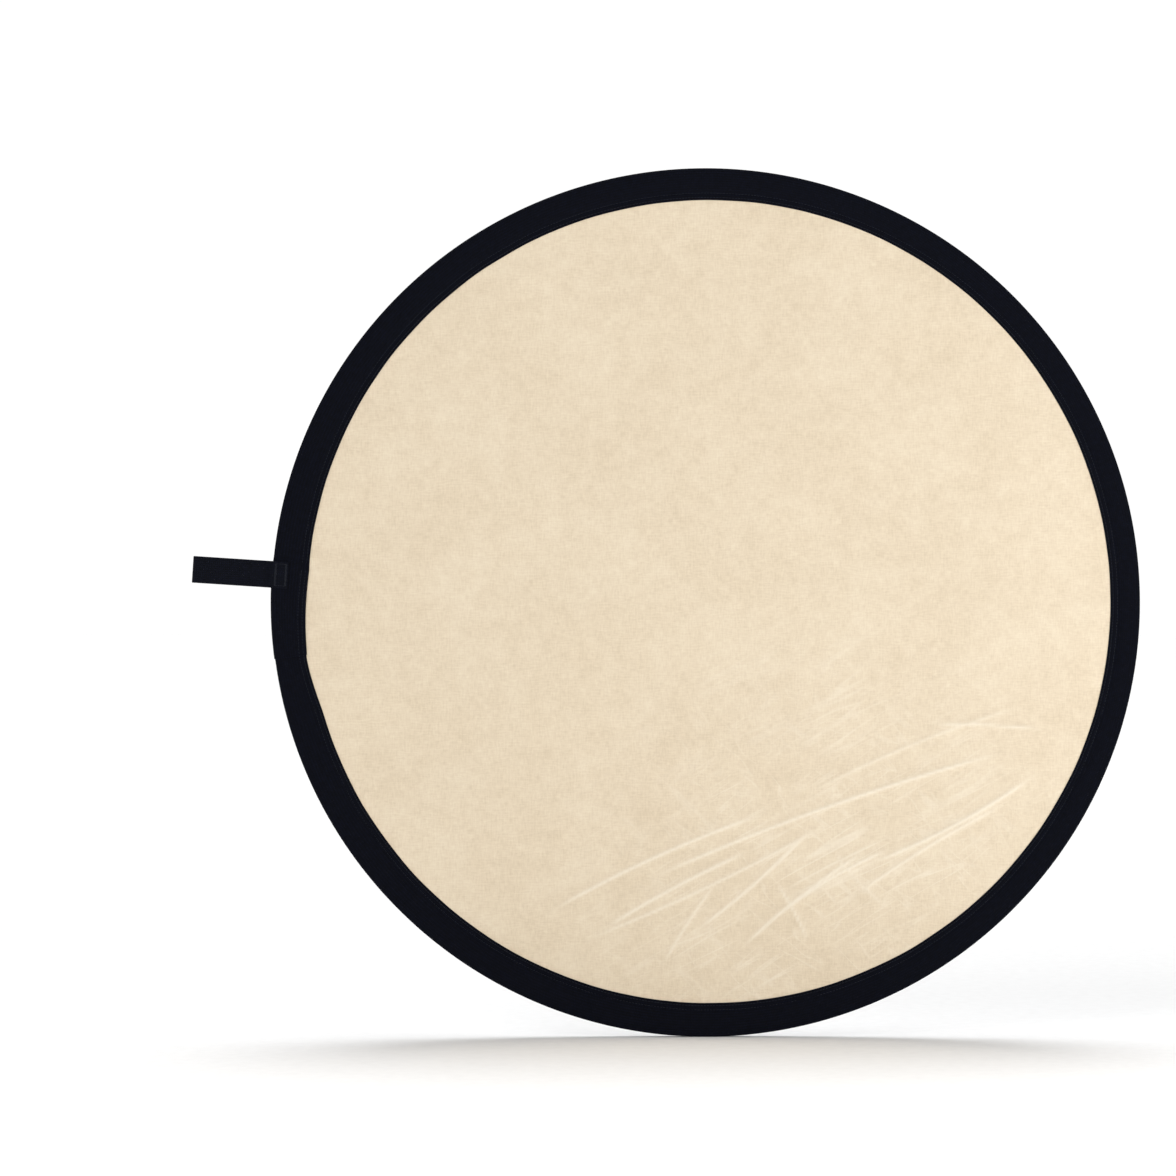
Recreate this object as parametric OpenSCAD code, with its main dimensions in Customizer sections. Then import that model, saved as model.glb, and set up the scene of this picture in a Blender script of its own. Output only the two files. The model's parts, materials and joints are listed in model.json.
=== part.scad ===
// Collapsible two-sided reflector disc, about 32 inches across.
// A flat spring-steel hoop is sewn into a folded tape binding that stretches
// three sheets flat: a warm cream face, a block-out lining and a silver face.
// The disc stands on its rim in the XZ plane: front (cream) towards -Y, back
// (silver) towards +Y, +Z up, and the origin is the lowest point of the rim.
// The flexible disc is divided into five upright panels, so that it can bow.

/* [Disc] */
// Overall diameter over the binding
disc_d = 812; // [560:1:1200]
// Greatest angle of the bow at each of the four bend lines
bend_angle = 30; // [5:1:40]

/* [Hoop] */
// Width of the flat spring-steel strip, across the rim
strip_w = 5.5; // [4:0.5:8]
// Thickness of the strip, along the radius
strip_t = 0.9; // [0.6:0.1:1.4]
// Length of the sleeve that joins the ends of the strip
ferrule_len = 44; // [30:1:80]
// Diameter of the rivets through the sleeve
rivet_d = 2.2; // [1.5:0.1:3]

/* [Sheets and binding] */
// Thickness of each of the three sheets
sheet_t = 0.4; // [0.2:0.1:0.8]
// Thickness of the folded binding tape
tape_t = 0.7; // [0.5:0.1:1.2]
// Width of the binding seen on each face
binding_w = 30; // [22:1:45]
// Thickness of the sewing thread
thread_t = 0.3; // [0.2:0.05:0.5]
// Where the overlapped end of the tape begins, anticlockwise from 3 o'clock
lap_start = 174; // [170:0.5:174]
// Where the overlapped end of the tape stops
lap_end = 187.5; // [183:0.5:200]

/* [Strap] */
// Width of the webbing
strap_w = 25; // [20:1:30]
// Thickness of the webbing
webbing_t = 1.3; // [0.8:0.1:1.6]
// How far the strap reaches past the rim
strap_len = 75; // [60:1:120]
// Direction of the strap, anticlockwise from 3 o'clock
strap_at = 176.3; // [176.3:0.1:178]
// How far the sewn tabs of the strap reach over the binding
tab_w = 15; // [12:1:18]
// Inside width of the strap's eye
eye_w = 5; // [4.5:0.5:8]

/* [Hidden] */
PANELS = ["left_outer", "left_inner", "centre", "right_inner", "right_outer"];
LAYERS = ["gold_face", "blockout_lining", "silver_face", "spring_hoop",
          "rim_binding", "tunnel_seam", "edge_seam"];
$fn = 180;

// Clearances
fit_gap = 0.05;   // strip inside its sleeve
loose_gap = 0.1;  // sleeve and wrap inside the binding's tunnel
past = 5;         // how far a cutting solid runs past what it cuts

// Sleeve and wrap around the strip
ferrule_wall = 0.4;
rivet_head_t = 0.3;
rivet_head_d = 1.5 * rivet_d;
rivet_inset = 0.3 * ferrule_len;
wrap_t = 0.2;
wrap_extra = 6; // how far the wrap runs past each end of the sleeve

// Tunnel of the binding: half sizes across the rim, from the disc's mid plane
disc_r = disc_d / 2;
cavity_r = disc_r - tape_t;
wrap_outer_r = cavity_r - loose_gap;
wrap_inner_r = wrap_outer_r - wrap_t;
ferrule_outer_r = wrap_inner_r - loose_gap / 2 - rivet_head_t;
strip_outer_r = ferrule_outer_r - ferrule_wall - fit_gap;
strip_inner_r = strip_outer_r - strip_t;
ferrule_inner_r = strip_inner_r - fit_gap - ferrule_wall;
wrap_low_r = ferrule_inner_r - rivet_head_t - loose_gap / 2 - wrap_t;
ferrule_half = strip_w / 2 + fit_gap + ferrule_wall;
wrap_half = ferrule_half + wrap_t;
cavity_half = wrap_half + loose_gap;
tunnel_half = cavity_half + tape_t;
tunnel_corner = 0.8; // chamfer on the tunnel's outer edges

// Legs of the binding: a flat sewn band, then a slope up to the hoop
stack_half = 1.5 * sheet_t;
leg_half = stack_half + tape_t;
binding_in_r = disc_r - binding_w;
sewn_band = 8;
slope_r = binding_in_r + sewn_band;
shoulder_r = wrap_low_r - 1.2;
slope = (tunnel_half - leg_half) / (shoulder_r - slope_r);
sheet_r = slope_r + 2;

// Seams: one along the foot of the tunnel, one along the binding's inner edge
seam_w = 0.5;
tunnel_seam_r = slope_r - 1.5;
edge_seam_r = binding_in_r + 2.5;
lap_in_r = binding_in_r + 1;

// Strap: sewn base, turning loop and the bend line between them
strap_half_angle = strap_w / disc_r * 90 / PI;
tab_in_r = disc_r - tab_w;
pivot_r = disc_r + tape_t + webbing_t + 7;
base_end_gap = 1.9 * webbing_t;
loop_len = disc_r + strap_len - pivot_r;
eye_near = 12;   // from the pivot to where the two plies part
eye_ramp = 8;    // length over which they part
eye_half = eye_w / 2;
tack_inset = 2;

// Panels: equal widths, parted at the bend lines so that they clear when bowed
panel_w = disc_d / len(PANELS);
panel_gap = tunnel_half * tan(bend_angle / 2) + 0.2;

// ---- helpers ----

// Turns a piece made about Z so that it stands about Y, centred on the disc.
module upright() {
    translate([0, 0, disc_r]) rotate([90, 0, 0]) children();
}

// Part of a ring from angle a0 to a1, swept from a section in (radius, width).
module arc(a0, a1) {
    rotate([0, 0, a0]) rotate_extrude(angle = a1 - a0) children();
}

// A plain rectangular section from radius r0 to r1, and from w0 to w1 across.
module section(r0, r1, w0, w1) {
    translate([r0, w0]) square([r1 - r0, w1 - w0]);
}

// The share of a whole-disc piece that falls in panel i.
module in_panel(i) {
    first = i == 0;
    last = i == len(PANELS) - 1;
    x0 = -disc_r + i * panel_w + (first ? -past : panel_gap);
    x1 = -disc_r + (i + 1) * panel_w + (last ? past : -panel_gap);
    intersection() {
        children();
        translate([x0, -past * 4, -past])
            cube([x1 - x0, past * 8, disc_d + 2 * past]);
    }
}

// Half thickness of the binding at radius r.
function skin(r) = leg_half + slope * min(max(r - slope_r, 0), shoulder_r - slope_r);

// Half section of the binding's outside, with extra plies of thickness e over it.
function binding_half(r_in, e) = concat(
    [[r_in, skin(r_in) + e]],
    r_in < slope_r ? [[slope_r, leg_half + e]] : [],
    [[shoulder_r, tunnel_half + e],
     [disc_r - tunnel_corner + e / 2, tunnel_half + e],
     [disc_r + e, tunnel_half - tunnel_corner + e / 2]]);

// Half section of the space inside the binding.
function cavity_half_section() = [
    [binding_in_r - past, stack_half],
    [slope_r, stack_half],
    [shoulder_r, cavity_half],
    [cavity_r, cavity_half]];

// A half section and its mirror image, as one closed outline.
function both_halves(half) = concat(
    half, [for (i = [len(half) - 1:-1:0]) [half[i][0], -half[i][1]]]);

module binding_outline(r_in, e) {
    polygon(both_halves(binding_half(r_in, e)));
}

// ---- sheets ----

// One stretched round sheet, from y0 to y1.
module sheet(y0, y1) {
    translate([0, y1, disc_r]) rotate([90, 0, 0]) cylinder(r = sheet_r, h = y1 - y0);
}

module gold_face() {
    color("#ecdcc0") sheet(-stack_half, -stack_half + sheet_t);
}

module blockout_lining() {
    color("#2a2a2c") sheet(-stack_half + sheet_t, stack_half - sheet_t);
}

module silver_face() {
    color("#c4c4c6") sheet(stack_half - sheet_t, stack_half);
}

// ---- hoop and its joint ----

// Rivet positions, as angles each side of 3 o'clock.
function rivet_angles() = [for (s = [-1, 1]) s * rivet_inset / disc_r * 180 / PI];

// Shanks of the rivets, from radius r0 to r1.
module rivet_shanks(r0, r1, d) {
    for (a = rivet_angles()) rotate([0, 0, a]) translate([r0, 0, 0])
        rotate([0, 90, 0]) cylinder(d = d, h = r1 - r0);
}

module spring_hoop() {
    seam_angle = 0.2 / disc_r * 180 / PI; // the strip's ends butt inside the sleeve
    color("#6d7278") upright() difference() {
        arc(seam_angle, 360 - seam_angle)
            section(strip_inner_r, strip_outer_r, -strip_w / 2, strip_w / 2);
        rivet_shanks(strip_inner_r - 1, strip_outer_r + 1, rivet_d);
    }
}

// A square sleeve round the strip, centred on 3 o'clock.
module sleeve(len, r0, r1, half, wall_t) {
    half_angle = len / 2 / disc_r * 180 / PI;
    arc(-half_angle, half_angle) difference() {
        section(r0, r1, -half, half);
        section(r0 + wall_t, r1 - wall_t, -half + wall_t, half - wall_t);
    }
}

module hoop_ferrule() {
    color("#a9adb1") upright() difference() {
        sleeve(ferrule_len, ferrule_inner_r, ferrule_outer_r, ferrule_half, ferrule_wall);
        rivet_shanks(ferrule_inner_r - 1, ferrule_outer_r + 1, rivet_d);
    }
}

module ferrule_rivets() {
    color("#c9ccd0") upright() {
        rivet_shanks(ferrule_inner_r - rivet_head_t, ferrule_outer_r + rivet_head_t, rivet_d);
        rivet_shanks(ferrule_outer_r + 0.02, ferrule_outer_r + rivet_head_t, rivet_head_d);
        rivet_shanks(ferrule_inner_r - rivet_head_t, ferrule_inner_r - 0.02, rivet_head_d);
    }
}

module ferrule_wrap() {
    color("#1c1d20") upright()
        sleeve(ferrule_len + 2 * wrap_extra, wrap_low_r, wrap_outer_r, wrap_half, wrap_t);
}

// ---- binding and its seams ----

module rim_binding() {
    color("#10131a") upright() rotate_extrude() difference() {
        binding_outline(binding_in_r, 0);
        polygon(both_halves(cavity_half_section()));
    }
}

// The tape's end, folded over its own beginning beside the strap.
module binding_lap() {
    color("#10131a") upright() arc(lap_start, lap_end) difference() {
        binding_outline(lap_in_r, tape_t);
        binding_outline(lap_in_r - past, 0);
    }
}

// A ring of sewing on both faces, which climbs over the lap and stops at the strap.
module seam(r) {
    strap_clear = strap_half_angle + 0.05;
    for (s = [-1, 1]) {
        arc(lap_end + 0.02, 360 + lap_start - 0.02)
            thread_section(r, s, leg_half);
        arc(strap_at + strap_clear, lap_end)
            thread_section(r, s, leg_half + tape_t);
    }
}

// Section of one row of thread lying on a face at the given half width.
module thread_section(r, s, base) {
    section(r - seam_w / 2, r + seam_w / 2,
            min(s * base, s * (base + thread_t)), max(s * base, s * (base + thread_t)));
}

module tunnel_seam() {
    color("#2b3040") upright() seam(tunnel_seam_r);
}

module edge_seam() {
    color("#2b3040") upright() seam(edge_seam_r);
}

// ---- strap ----

// The two tabs sewn over the rim, which meet beyond it where the loop begins.
module strap_base() {
    a0 = strap_at - strap_half_angle;
    neck = disc_r + tape_t;
    color("#12151e") upright() arc(a0, a0 + 2 * strap_half_angle) {
        difference() {
            binding_outline(tab_in_r, tape_t + webbing_t);
            binding_outline(binding_in_r, tape_t);
        }
        polygon(both_halves([
            [neck, tunnel_half - tunnel_corner],
            [neck + webbing_t, tunnel_half - tunnel_corner],
            [pivot_r - base_end_gap - 1, webbing_t],
            [pivot_r - base_end_gap, webbing_t]]));
    }
}

// A bar of width w along the rim, from a flat outline in (outward, across).
module strap_bar(w) {
    translate([0, 0, -w / 2]) linear_extrude(height = w) children();
}

// The loop's own shape: pivot end, neck, eye and fold, along +X from the pivot.
module loop_solid() {
    fold_x = loop_len - eye_half - webbing_t;
    difference() {
        union() {
            strap_bar(strap_w) circle(r = webbing_t);
            strap_bar(strap_w) polygon(both_halves([
                [0, webbing_t],
                [eye_near, webbing_t],
                [eye_near + eye_ramp, eye_half + webbing_t],
                [fold_x, eye_half + webbing_t]]));
            translate([fold_x, 0, 0]) strap_bar(strap_w) circle(r = eye_half + webbing_t);
        }
        strap_bar(strap_w + 2 * past) polygon(both_halves([
            [eye_near + 1, 0.1],
            [eye_near + eye_ramp, eye_half],
            [fold_x, eye_half]]));
        translate([fold_x, 0, 0]) strap_bar(strap_w + 2 * past) circle(r = eye_half);
    }
}

module strap_loop() {
    color("#12151e") upright() rotate([0, 0, strap_at]) translate([pivot_r, 0, 0])
        rotate([90, 0, 0]) loop_solid();
}

// Two rows of bar tacks through the tabs, on both faces.
module strap_tacks() {
    half_angle = strap_half_angle - tack_inset / disc_r * 180 / PI;
    rows = [tab_in_r + tack_inset, disc_r - tunnel_corner - tack_inset / 2];
    color("#2b3040") upright() for (s = [-1, 1]) for (r = rows)
        arc(strap_at - half_angle, strap_at + half_angle)
            thread_section(r, s, skin(r + seam_w / 2) + tape_t + webbing_t);
}

// ---- the whole disc ----

// Draws every panel of a layer, or the one that is asked for.
module panels(layer) {
    for (i = [0:len(PANELS) - 1])
        in_panel(i) children();
}

panels("gold_face") gold_face();
panels("blockout_lining") blockout_lining();
panels("silver_face") silver_face();
panels("spring_hoop") spring_hoop();
panels("rim_binding") rim_binding();
panels("tunnel_seam") tunnel_seam();
panels("edge_seam") edge_seam();
binding_lap();
strap_base();
strap_loop();
strap_tacks();
hoop_ferrule();
ferrule_rivets();
ferrule_wrap();
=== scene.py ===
"""Looks of a collapsible reflector disc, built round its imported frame.

Units are metres. The disc stands upright in the XZ plane: its cream face looks along -Y,
its silver face along +Y, and its lowest rim point is the origin. Angles run anticlockwise
from +X, as seen from the cream side.
"""

import json
import logging
import math
from collections.abc import Mapping, Sequence
from dataclasses import dataclass, field
from enum import Enum

import bpy
import numpy as np
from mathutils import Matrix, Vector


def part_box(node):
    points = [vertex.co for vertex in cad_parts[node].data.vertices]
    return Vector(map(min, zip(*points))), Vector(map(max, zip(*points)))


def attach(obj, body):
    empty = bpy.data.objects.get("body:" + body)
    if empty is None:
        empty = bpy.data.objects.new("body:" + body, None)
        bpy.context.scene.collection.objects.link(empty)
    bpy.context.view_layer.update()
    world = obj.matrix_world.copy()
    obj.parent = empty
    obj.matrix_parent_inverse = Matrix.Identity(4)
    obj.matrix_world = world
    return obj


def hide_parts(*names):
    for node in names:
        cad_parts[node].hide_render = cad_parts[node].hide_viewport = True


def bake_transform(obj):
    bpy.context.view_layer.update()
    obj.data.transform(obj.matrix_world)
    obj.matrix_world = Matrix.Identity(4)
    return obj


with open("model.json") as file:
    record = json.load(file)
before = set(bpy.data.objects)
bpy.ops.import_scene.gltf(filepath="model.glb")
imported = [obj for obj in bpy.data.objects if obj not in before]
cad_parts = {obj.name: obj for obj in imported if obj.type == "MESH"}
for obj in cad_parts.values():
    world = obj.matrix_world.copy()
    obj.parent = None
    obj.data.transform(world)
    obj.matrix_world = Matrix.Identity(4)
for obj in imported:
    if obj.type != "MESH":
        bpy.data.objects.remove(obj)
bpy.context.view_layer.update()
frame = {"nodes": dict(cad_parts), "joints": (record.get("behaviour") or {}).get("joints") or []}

log = logging.getLogger("reflector_disc")

MM = 0.001
FLAT_MAP = "flat"
FOLD_HIGHLIGHT = "fold_highlight"  # the mesh attribute that marks where a highlight is painted along the creases' backs
Array = np.ndarray


class Side(Enum):
    """The two faces of the disc, by the sign of their outward Y."""

    FRONT = -1
    BACK = 1


# ---- helpers ----


def smooth(t: Array) -> Array:
    """Eases from 0 to 1 as t goes from 0 to 1, and holds outside that."""
    t = np.clip(t, 0.0, 1.0)
    return t * t * (3.0 - 2.0 * t)


def linear_rgba(hex_colour: str) -> tuple[float, float, float, float]:
    """Turns an sRGB hex colour into the linear colour that shaders take.

    Args:
        hex_colour: six hex digits after a hash sign.

    Returns:
        Linear red, green, blue and an alpha of 1.
    """
    shares = [int(hex_colour[i : i + 2], 16) / 255.0 for i in (1, 3, 5)]
    knee, toe, offset, gamma = 0.04045, 12.92, 0.055, 2.4
    linear = [s / toe if s <= knee else ((s + offset) / (1 + offset)) ** gamma for s in shares]
    return linear[0], linear[1], linear[2], 1.0


class Relief:
    """Smooth random relief from random slopes on a square lattice, from -1 to 1."""

    LATTICE = 256
    FULL = 1.45  # brings the usual peaks of such relief to about 1

    def __init__(self, seed: int) -> None:
        """Draws the lattice's slopes from a seed."""
        shape = (self.LATTICE, self.LATTICE)
        self._turn = np.random.default_rng(seed).uniform(0.0, 2.0 * math.pi, shape)

    def at(self, x: Array, z: Array, pitch: float) -> Array:
        """Gives the relief's height.

        Args:
            x: places along the first axis.
            z: places along the second axis.
            pitch: distance between lattice points.

        Returns:
            Heights from about -1 to 1.
        """
        u, v = np.asarray(x) / pitch, np.asarray(z) / pitch
        i, j = np.floor(u).astype(int), np.floor(v).astype(int)
        du, dv = u - i, v - j

        def corner(a: int, b: int) -> Array:
            """Height of the slope that belongs to one corner of the cell."""
            turn = self._turn[(i + a) % self.LATTICE, (j + b) % self.LATTICE]
            return np.cos(turn) * (du - a) + np.sin(turn) * (dv - b)

        eu, ev = smooth(du), smooth(dv)
        low = corner(0, 0) * (1 - eu) + corner(1, 0) * eu
        high = corner(0, 1) * (1 - eu) + corner(1, 1) * eu
        return self.FULL * (low * (1 - ev) + high * ev)


class Draft:
    """A mesh being drawn up: points, their normals, their flat places, and faces.

    Points in the same place are welded at the end, and each face keeps its own normals.
    """

    WELD = 0.0005 * MM

    def __init__(self) -> None:
        """Starts empty."""
        self._points: list[Array] = []
        self._normals: list[Array] = []
        self._flat: list[Array] = []
        self._faces: list[Array] = []
        self._rounded: list[bool] = []
        self._count = 0

    def add(
        self, points: Array, normals: Array, flat: Array, faces: Array, rounded: bool = True
    ) -> None:
        """Adds points and the faces between them.

        Args:
            points: N x 3 places.
            normals: N x 3 directions.
            flat: N x 2 places on the flat cloth.
            faces: M x K indices into these points.
            rounded: whether the faces run smoothly into each other.
        """
        self._points.append(points.reshape(-1, 3))
        self._normals.append(normals.reshape(-1, 3))
        self._flat.append(flat.reshape(-1, 2))
        self._faces.extend(np.asarray(faces) + self._count)
        self._rounded.extend([rounded] * len(faces))
        self._count += len(self._points[-1])

    def close(self, faces: Array) -> None:
        """Adds faces between the points that were added last."""
        self._faces.extend(np.asarray(faces) + self._count - len(self._points[-1]))
        self._rounded.extend([True] * len(faces))

    def sweep(self, points: Array, flat: Array, ghosts: bool = False) -> None:
        """Adds a closed outline carried along a line, with both ends closed.

        Args:
            points: K stations x J outline points x 3, the outline running so that
                its step crossed with the station's step points outwards.
            flat: K x J x 2 places on the flat cloth.
            ghosts: whether the first and last stations are only there so that the
                normals run on past the ends.
        """
        step_j = np.roll(points, -1, axis=1) - np.roll(points, 1, axis=1)
        step_k = np.gradient(points, axis=0)
        normals = unit(np.cross(step_j, step_k))
        if ghosts:
            points, flat, normals, step_k = (v[1:-1] for v in (points, flat, normals, step_k))
        stations, around = points.shape[:2]
        k, j = np.meshgrid(np.arange(stations - 1), np.arange(around), indexing="ij")
        n = (j + 1) % around
        quads = np.stack(
            [k * around + j, k * around + n, (k + 1) * around + n, (k + 1) * around + j], -1
        )
        self.add(points, normals, flat, quads.reshape(-1, 4))
        for end, sense in ((0, -1), (stations - 1, 1)):
            middle = unit(step_k[end].mean(axis=0)) * sense
            order = np.arange(around)[:: -sense][None]
            self.add(points[end], np.tile(middle, (around, 1)), flat[end], order, rounded=False)

    def make(self, name: str, finish: "Finish") -> bpy.types.Object:
        """Makes the Blender object.

        Args:
            name: the piece's name.
            finish: its material.

        Returns:
            The new object, linked to the scene.
        """
        drawn, normals = np.concatenate(self._points), np.concatenate(self._normals)
        _, first, welded = np.unique(
            np.round(drawn / self.WELD), axis=0, return_index=True, return_inverse=True
        )
        welded = welded.reshape(-1)
        mesh = bpy.data.meshes.new(name)
        mesh.from_pydata(drawn[first].tolist(), [], [welded[face].tolist() for face in self._faces])
        mesh.polygons.foreach_set("use_smooth", self._rounded)
        corners = np.concatenate(self._faces)
        flat = mesh.uv_layers.new(name=FLAT_MAP)
        flat.data.foreach_set("uv", np.concatenate(self._flat)[corners].astype(np.float32).ravel())
        mesh.normals_split_custom_set(normals[corners].tolist())
        mesh.update()
        obj = bpy.data.objects.new(name, mesh)
        bpy.context.scene.collection.objects.link(obj)
        finish.dress(obj)
        return obj


def unit(vectors: Array) -> Array:
    """Scales vectors to length 1."""
    length = np.linalg.norm(vectors, axis=-1, keepdims=True)
    return vectors / np.maximum(length, 1e-12)


# ---- finishes ----


class Nodes:
    """The node tree of one material."""

    def __init__(self, name: str) -> None:
        """Starts a material with only its output."""
        self.material = bpy.data.materials.new(name)
        self.material.use_nodes = True
        self.tree = self.material.node_tree
        self.tree.nodes.clear()

    def add(
        self,
        kind: str,
        settings: Mapping[str, object] | None = None,
        links: Mapping[str, bpy.types.NodeSocket] | None = None,
    ) -> bpy.types.Node:
        """Adds a node.

        Args:
            kind: the node's type, without its ShaderNode prefix.
            settings: values of its sockets or, failing those, of its properties.
            links: what feeds its sockets.

        Returns:
            The new node.
        """
        node = self.tree.nodes.new("ShaderNode" + kind)
        for key, value in (settings or {}).items():
            if isinstance(key, str) and hasattr(node, key):
                setattr(node, key, value)
            else:
                node.inputs[key].default_value = value
        for key, source in (links or {}).items():
            self.tree.links.new(source, node.inputs[key])
        return node

    def tones(
        self, source: bpy.types.NodeSocket, stops: Sequence[tuple[float, str]]
    ) -> bpy.types.NodeSocket:
        """Maps a number to colours.

        Args:
            source: the number, from 0 to 1.
            stops: where each sRGB hex colour stands.

        Returns:
            The colour.
        """
        node = self.add("ValToRGB", links={"Fac": source})
        ramp = node.color_ramp.elements
        while len(ramp) < len(stops):
            ramp.new(1.0)
        for element, (place, colour) in zip(ramp, stops):
            element.position = place
            element.color = linear_rgba(colour)
        return node.outputs["Color"]

    def spread(
        self, source: bpy.types.NodeSocket, low: tuple[float, float], high: tuple[float, float]
    ) -> bpy.types.NodeSocket:
        """Maps numbers linearly and holds them at both ends.

        Args:
            source: the number.
            low: a number and what it becomes.
            high: a larger number and what it becomes.

        Returns:
            The mapped number.
        """
        settings = {"From Min": low[0], "To Min": low[1], "From Max": high[0], "To Max": high[1]}
        return self.add("MapRange", settings, {"Value": source}).outputs["Result"]


def wave_scale(pitch: float) -> float:
    """Gives the wave texture's Scale that puts its bands one pitch apart."""
    return math.pi / (10 * pitch)


class Finish:
    """A material and the record's slot that it belongs to. Subclasses fill its nodes."""

    name: str
    slot: str

    def shader(self, nodes: Nodes) -> bpy.types.NodeSocket:
        """Builds the shader and returns its output."""
        raise NotImplementedError

    def material(self) -> bpy.types.Material:
        """Gives the material, built the first time that it is asked for."""
        found = bpy.data.materials.get(self.name)
        if found is None:
            nodes = Nodes(self.name)
            nodes.add("OutputMaterial", links={"Surface": self.shader(nodes)})
            found = nodes.material
        return found

    def dress(self, obj: bpy.types.Object) -> None:
        """Puts the material on an object."""
        obj.data.materials.clear()
        obj.data.materials.append(self.material())


@dataclass(frozen=True)
class Hairlines:
    """One family of fine creases that run roughly one way across a sheet.

    The creases are where a stretched noise crosses its middle value.
    """

    turn: float  # degrees anticlockwise from +X
    length: float
    spacing: float
    width: float  # of a line, as the noise's range that it fills
    strength: float
    gap_scale: float = 2.2  # breaks along one crease's length
    gap_band: tuple[float, float] = (0.42, 0.60)  # noise from where lines fade in to full


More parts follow.
